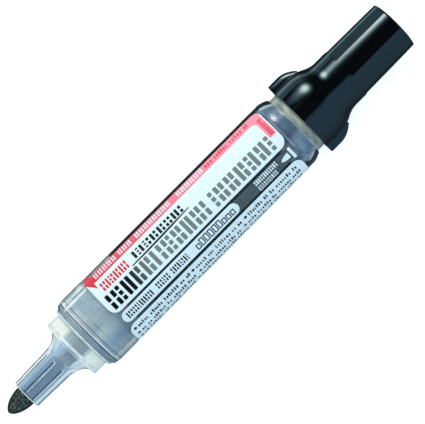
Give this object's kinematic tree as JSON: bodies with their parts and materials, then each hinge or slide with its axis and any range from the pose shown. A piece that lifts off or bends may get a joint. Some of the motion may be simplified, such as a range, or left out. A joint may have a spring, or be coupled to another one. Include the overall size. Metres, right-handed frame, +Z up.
{
  "type": "whiteboard marker",
  "caption": "Refillable whiteboard marker with a bullet tip, a clear tapered barrel with a wrapped label, and a black cap with side fins pushed onto its rear end.",
  "frame": {"origin": "under the middle of the marker, on the surface that it lies on, with the cap posted on the rear", "axes": "+X along the marker from the nib towards the cap's closed end, +Z up out of the middle of the label, +Y across the marker towards one of the cap's fins"},
  "size_m": [0.134, 0.0222, 0.0203],
  "materials": {
    "nib_felt": "matt pressed felt stained with black ink",
    "frosted_plastic": "translucent blue-grey moulded plastic, satin",
    "milky_plastic": "milky translucent moulded plastic, satin",
    "seal_rubber": "black sealing rubber",
    "clear_plastic": "clear, faintly blue-grey, polished",
    "label_film": "clear film with pale printed panels and a red band, glossy",
    "ink": "black liquid ink",
    "neck_plastic": "grey-green translucent plastic, satin",
    "spring_steel": "bright spring wire",
    "cap_plastic": "black, glossy, moulded",
    "liner_plastic": "white, satin"
  },
  "bodies": {
    "barrel": {"barrel": "clear_plastic", "label_film": "label_film", "front_ring": "frosted_plastic", "front_seal_ring": "seal_rubber", "seat_collar": "milky_plastic", "nozzle": "frosted_plastic", "nib": "nib_felt", "ink_collector": "milky_plastic", "feed_wick": "nib_felt", "piercing_tube": "milky_plastic"},
    "cartridge": {"cartridge_tube": "clear_plastic", "cartridge_stopper": "seal_rubber", "ink_charge": "ink"},
    "piston": {"cartridge_piston": "seal_rubber"},
    "rear_plug": {"rear_plug": "neck_plastic", "plug_seal_ring": "seal_rubber", "button_retainer": "neck_plastic", "pump_spring": "spring_steel"},
    "button": {"pump_button": "cap_plastic", "pump_rod": "milky_plastic"},
    "cap": {"cap_shell": "cap_plastic", "cap_liner": "liner_plastic"}
  },
  "joints": [
    {"name": "cartridge_pull", "type": "slide", "parent": "barrel", "child": "cartridge", "axis": [1, 0, 0], "range_m": [0, 0.064]},
    {"name": "plug_pull", "type": "slide", "parent": "cartridge", "child": "rear_plug", "axis": [1, 0, 0], "range_m": [0, 0.012]},
    {"name": "cap_pull", "type": "slide", "parent": "rear_plug", "child": "cap", "axis": [1, 0, 0], "range_m": [0, 0.03]},
    {"name": "button_press", "type": "slide", "parent": "rear_plug", "child": "button", "axis": [-1, 0, 0], "range_m": [0, 0.002], "stiffness_N_per_m": 1500, "deforming": ["pump_spring"]},
    {"name": "piston_press", "type": "slide", "parent": "cartridge", "child": "piston", "axis": [-1, 0, 0], "range_m": [0, 0.002]}
  ],
  "couplings": [
    {"joint": "piston_press", "follows": "button_press", "ratio": 1}
  ]
}
